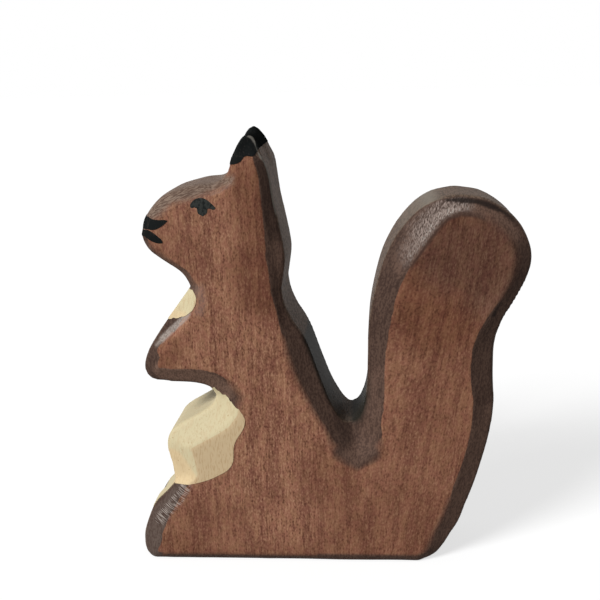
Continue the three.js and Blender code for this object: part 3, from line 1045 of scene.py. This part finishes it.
# %% [markdown]
# ## Coats of wash and paint
#
# A coat has the shape of the wood under it. A flat plate in the mark's shape would stand off the
# rounded edges, so each mark is made as a painter's mask would make it: a patch of the finished
# skin is lifted off, given a coat's thickness, and trimmed to the mark's outline with a block. The
# outline is a Bezier curve through a few points, round at the soft ones and straight at the sharp
# ones.

# %% Make a block from an outline
CURVE_STEPS = 8
BLOCK_JOIN_WITHIN = 0.001 * MM


def soft(x, z):
    return (x, z, "AUTO")


def sharp(x, z):
    return (x, z, "VECTOR")


def trimming_block(name, outline, front, back):
    """A block whose outline is a curve through (x, z, handle) points, straight along Y."""
    curve = bpy.data.curves.new(name, "CURVE")
    curve.dimensions = "2D"
    curve.fill_mode = "BOTH"
    curve.extrude = (back - front) / 2
    curve.resolution_u = CURVE_STEPS
    spline = curve.splines.new("BEZIER")
    spline.bezier_points.add(len(outline) - 1)
    for point, (x, z, handle) in zip(spline.bezier_points, outline):
        point.co = (x * MM, z * MM, 0)
        point.handle_left_type = handle
        point.handle_right_type = handle
    spline.use_cyclic_u = True
    block = bpy.data.objects.new(name, curve)
    bpy.context.scene.collection.objects.link(block)
    block.rotation_euler.x = math.pi / 2
    block.location.y = (front + back) / 2
    select_only(block)
    bpy.ops.object.convert(target="MESH")
    bpy.ops.object.transform_apply(location=True, rotation=True, scale=True)
    edit_points(block, np.ones(len(block.data.vertices), bool))
    bpy.ops.mesh.remove_doubles(threshold=BLOCK_JOIN_WITHIN)
    bpy.ops.mesh.normals_make_consistent(inside=False)
    bpy.ops.object.mode_set(mode="OBJECT")
    return block


# %% Lift a patch of skin and trim it
COAT_THICKNESS = 0.08 * MM
COAT_LIFT = 0.01 * MM
PATCH_MARGIN = 1.5 * MM
PAST_THE_BOARD = 2 * board_half
SMOOTH_UNDER = math.radians(50)


def lifted_patch(name, low, high):
    """The part of the wood's skin between two corners of a box, lifted off a little."""
    patch = bpy.data.objects.new(name, wood.data.copy())
    patch.data.name = name
    bpy.context.scene.collection.objects.link(patch)
    edit_points(patch, ((points_of(patch) < low) | (points_of(patch) > high)).any(1))
    bpy.ops.mesh.delete(type="VERT")
    bpy.ops.mesh.select_all(action="SELECT")
    bpy.ops.transform.shrink_fatten(value=COAT_LIFT)
    bpy.ops.object.mode_set(mode="OBJECT")
    return patch


def coat(name, node, outline, material, front=-PAST_THE_BOARD, back=PAST_THE_BOARD):
    """A thin coat over the part of the wood that lies inside an outline, between two depths."""
    block = trimming_block(name + "_mask", outline, front, back)
    corners = points_of(block)
    piece = lifted_patch(name, corners.min(0) - PATCH_MARGIN, corners.max(0) + PATCH_MARGIN)
    apply_modifier(piece, "SOLIDIFY", thickness=COAT_THICKNESS, offset=1.0, use_even_offset=True)
    apply_modifier(piece, "BOOLEAN", operation="INTERSECT", object=block, solver="EXACT")
    bpy.data.objects.remove(block)
    piece.data.materials.clear()
    piece.data.materials.append(material)
    skin = Skin(piece)
    skin.keep_distances()
    skin.keep("edge_wear_and_highlight", skin.near(*EAR_EDGE))
    skin.keep("peach", skin.near(*PEACHES))
    skin.keep("rubbed", skin.near(*RUBBED))
    select_only(piece)
    bpy.ops.object.shade_smooth_by_angle(angle=SMOOTH_UNDER)
    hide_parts(node)
    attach(piece, "root")
    print(name, "has", len(piece.data.polygons), "faces")


# %% [markdown]
# ### Belly and chest
#
# The belly's wash runs right across the board's thickness, and a narrow strip of it goes on down
# the shin, only on the sawn side. Its top edge is ragged where the brush met the rough groove
# under the arm. A ragged line could be drawn by hand, but a few seeded draws look less regular.

# %% Find the sawn side of the shin
SHIN_BEFORE = -28 * MM
SHIN_FOOT = 11 * MM
SHIN_TOP = 19 * MM

shin = [(x, y, z) for x, y, z in sawn_outline if x < SHIN_BEFORE and SHIN_FOOT < z < SHIN_TOP]
shin_edge = min(-y for x, y, z in shin)
shin_depth = round((board_half - shin_edge) / MM, 1)
print("the sawn side of the shin starts", shin_depth, "mm below the face")

# %% Lay the wash
RAGGED_SEED = 4


def ragged(start, end, count, depth):
    """Sharp points between two places that jump to and fro across the line, as a dry brush does."""
    draws = random.Random(RAGGED_SEED)
    points = []
    for i in range(1, count):
        share = i / count
        x = start[0] + share * (end[0] - start[0])
        z = start[1] + share * (end[1] - start[1])
        points.append(sharp(x, z + depth * draws.uniform(-1, 1)))
    return points


BELLY_OUTLINE = [
    sharp(-36, 16.2), sharp(-36, 30), sharp(-26, 34.6), sharp(-22.6, 36.6),
    *ragged((-22.6, 36.6), (-17.6, 32.6), count=16, depth=0.35), sharp(-17.6, 32.6),
    soft(-16.5, 30.2), soft(-18.8, 25.2), soft(-19.6, 20.7), soft(-22.5, 18.5),
    soft(-27.7, 16.7), sharp(-31.3, 16.2),
]
SHIN_OUTLINE = [
    sharp(-30.5, 16.3), sharp(-30.5, 18), sharp(-36.5, 18), sharp(-36.5, 10.6), sharp(-34.9, 10.6),
]
CHEST_OUTLINE = [
    sharp(-31, 57), sharp(-25.8, 56.6), soft(-25.1, 55.2), soft(-25.6, 53.2), sharp(-27.1, 51.7),
    *ragged((-27.1, 51.7), (-30.5, 50.6), count=8, depth=0.2), sharp(-30.5, 50.6), sharp(-33, 50.6),
]
coat("belly_coat", "belly_wash", BELLY_OUTLINE, WASH)
coat("shin_coat", "belly_wash", SHIN_OUTLINE, WASH, front=-shin_edge, back=shin_edge)
coat("chest_coat", "chest_wash", CHEST_OUTLINE, WASH)

# %% [markdown]
# ### Ear, nose, mouth and eyes
#
# The black marks are painted freehand. The ear's tip, the nose and the mouth run across the
# board's thickness, so both faces share them. Each face has its own eye: a lid with drooping
# ends, and a pupil that hangs from it.

# %% Lay the paint
EAR_OUTLINE = [
    sharp(-20, 90), sharp(-20, 80.6), soft(-15.6, 81.1), soft(-14.7, 82.1), soft(-13.2, 82.1),
    soft(-12, 83.6), sharp(-9, 84), sharp(-9, 90),
]
NOSE_OUTLINE = [
    sharp(-40, 68.72), sharp(-33.9, 68.66), soft(-33, 68.52), soft(-32.1, 68.66), soft(-31.2, 69.1),
    soft(-30.3, 69.75), sharp(-29.85, 70.25), soft(-30.5, 70.4), soft(-31.7, 70.38),
    soft(-32.8, 70.5), sharp(-33.7, 70.88), sharp(-40, 71.7),
]
MOUTH_OUTLINE = [
    sharp(-40, 66.4), sharp(-34.6, 67.35), soft(-33.8, 66.82), soft(-32.9, 66.28),
    soft(-31.65, 65.95), sharp(-30.95, 66), soft(-31.1, 66.5), soft(-31.9, 67.3),
    soft(-32.95, 68.1), sharp(-33.8, 68.48), sharp(-40, 68.55),
]
EYE_OUTLINE = [
    soft(-25.35, 72.95), soft(-24.95, 73.8), soft(-24.1, 74.35), soft(-23.1, 74.45),
    soft(-22.05, 74.05), soft(-21.2, 73.3), sharp(-20.5, 72.55), soft(-20.95, 72.25),
    soft(-21.75, 72.5), sharp(-22.1, 72.4), soft(-22.3, 71.6), sharp(-23.05, 71.05),
    soft(-23.9, 71.6), sharp(-24.05, 72.55), soft(-24.6, 72.75), soft(-25.1, 72.65),
]
coat("ear_tip_coat", "ear_tip_paint", EAR_OUTLINE, PAINT)
coat("nose_coat", "nose_paint", NOSE_OUTLINE, PAINT)
coat("mouth_coat", "mouth_paint", MOUTH_OUTLINE, PAINT)
coat("left_eye_coat", "left_eye_paint", EYE_OUTLINE, PAINT, back=0.0)
coat("right_eye_coat", "right_eye_paint", EYE_OUTLINE, PAINT, front=0.0)

# %% [markdown]
# ## Light and ground
#
# One soft light comes from the upper left, as in the photograph, and the world fills in weakly
# all round. A sun lamp with a wide disc is used, because it lights the ground evenly to the
# horizon. The ground and the world are white to the camera, and the ground keeps a soft shadow.

# %% Light the scene
KEY_COMES_FROM = Vector((-0.9, -1.0, 0.9))
KEY_DISC = math.radians(22)
KEY_STRENGTH = 3.5
WORLD_LEVEL = 0.25
WHITE = (1, 1, 1, 1)

key_data = bpy.data.lights.new("key", "SUN")
key_data.angle = KEY_DISC
key_data.energy = KEY_STRENGTH
key = bpy.data.objects.new("key", key_data)
bpy.context.scene.collection.objects.link(key)
key.rotation_euler = KEY_COMES_FROM.to_track_quat("Z", "Y").to_euler()

world = bpy.data.worlds.new("world")
world.use_nodes = True
bpy.context.scene.world = world
sky = Nodes(world.node_tree)
sky_level = sky.plus(WORLD_LEVEL, sky.times(sky.seen_directly(), 1 - WORLD_LEVEL))
background = world.node_tree.nodes["Background"]
sky.feed(sky_level, background.inputs["Strength"])
sky.feed(WHITE, background.inputs["Color"])
key_height = math.asin(KEY_COMES_FROM.normalized().z)
print("the key light stands", round(math.degrees(key_height)), "degrees above the ground")

# %% Lay the ground
GROUND_SIZE = 6
GROUND_GREY = (0.4, 0.4, 0.4, 1)
GROUND_GLOW = 0.68

bpy.ops.mesh.primitive_plane_add(size=GROUND_SIZE, location=(0, 0, 0))
ground = bpy.context.object
ground.name = "ground"
g = Shader("pale_ground")
g.set(Base_Color=GROUND_GREY, Roughness=1.0, Specular_IOR_Level=0.0, Emission_Color=WHITE)
g.set(Emission_Strength=g.times(g.seen_directly(), GROUND_GLOW))
ground.data.materials.append(g.material)

bpy.context.scene.view_settings.view_transform = "Standard"
print("the ground is", GROUND_SIZE, "m wide")
